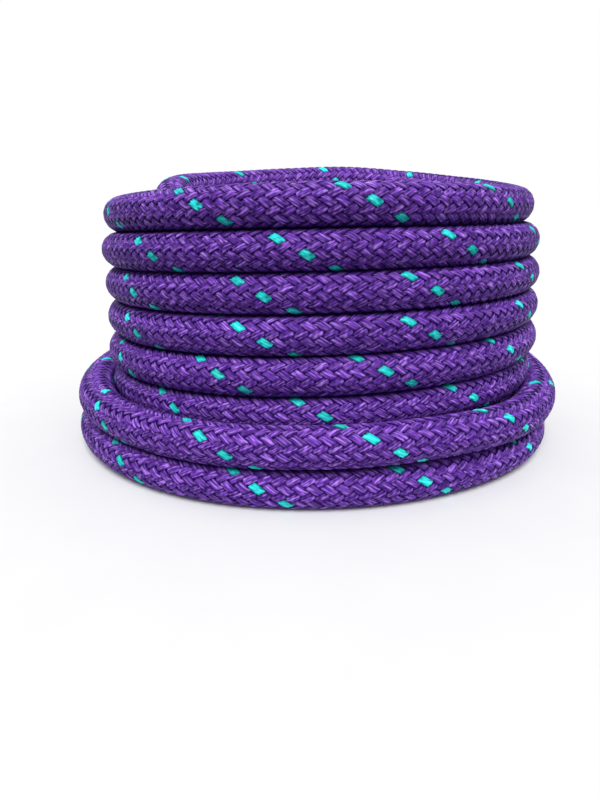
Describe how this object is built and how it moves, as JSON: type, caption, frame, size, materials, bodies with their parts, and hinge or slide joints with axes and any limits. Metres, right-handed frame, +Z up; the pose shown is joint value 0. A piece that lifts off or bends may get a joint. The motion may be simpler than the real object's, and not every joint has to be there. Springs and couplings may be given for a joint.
{
  "type": "dynamic climbing rope",
  "caption": "Bare braided rope lying as a free-standing round coil: wide turns below, a stack of turns above, and both ends tucked into the hollow.",
  "frame": {"origin": "on the surface the coil stands on, at the centre of its wide turns", "axes": "+Z up along the coil's axis; -Y is the side the reference view looks at, +X is its right"},
  "size_m": [0.1464, 0.1464, 0.0834],
  "materials": {
    "sheath": "satin",
    "tracer": "satin",
    "core": "matte",
    "sealed_tip": "gloss"
  },
  "bodies": {
    "root": {"coil_base": "sheath", "coil_stack": "sheath", "upper_tail": "sheath", "lower_tail": "sheath", "upper_sheath_end": "sheath", "lower_sheath_end": "sheath", "upper_sealed_tip": "sealed_tip", "lower_sealed_tip": "sealed_tip", "upper_core_strand_1": "core", "upper_core_strand_2": "core", "upper_core_strand_3": "core", "upper_core_strand_4": "core", "upper_core_strand_5": "core", "upper_core_strand_6": "core", "upper_core_strand_7": "core", "lower_core_strand_1": "core", "lower_core_strand_2": "core", "lower_core_strand_3": "core", "lower_core_strand_4": "core", "lower_core_strand_5": "core", "lower_core_strand_6": "core", "lower_core_strand_7": "core"}
  },
  "joints": []
}
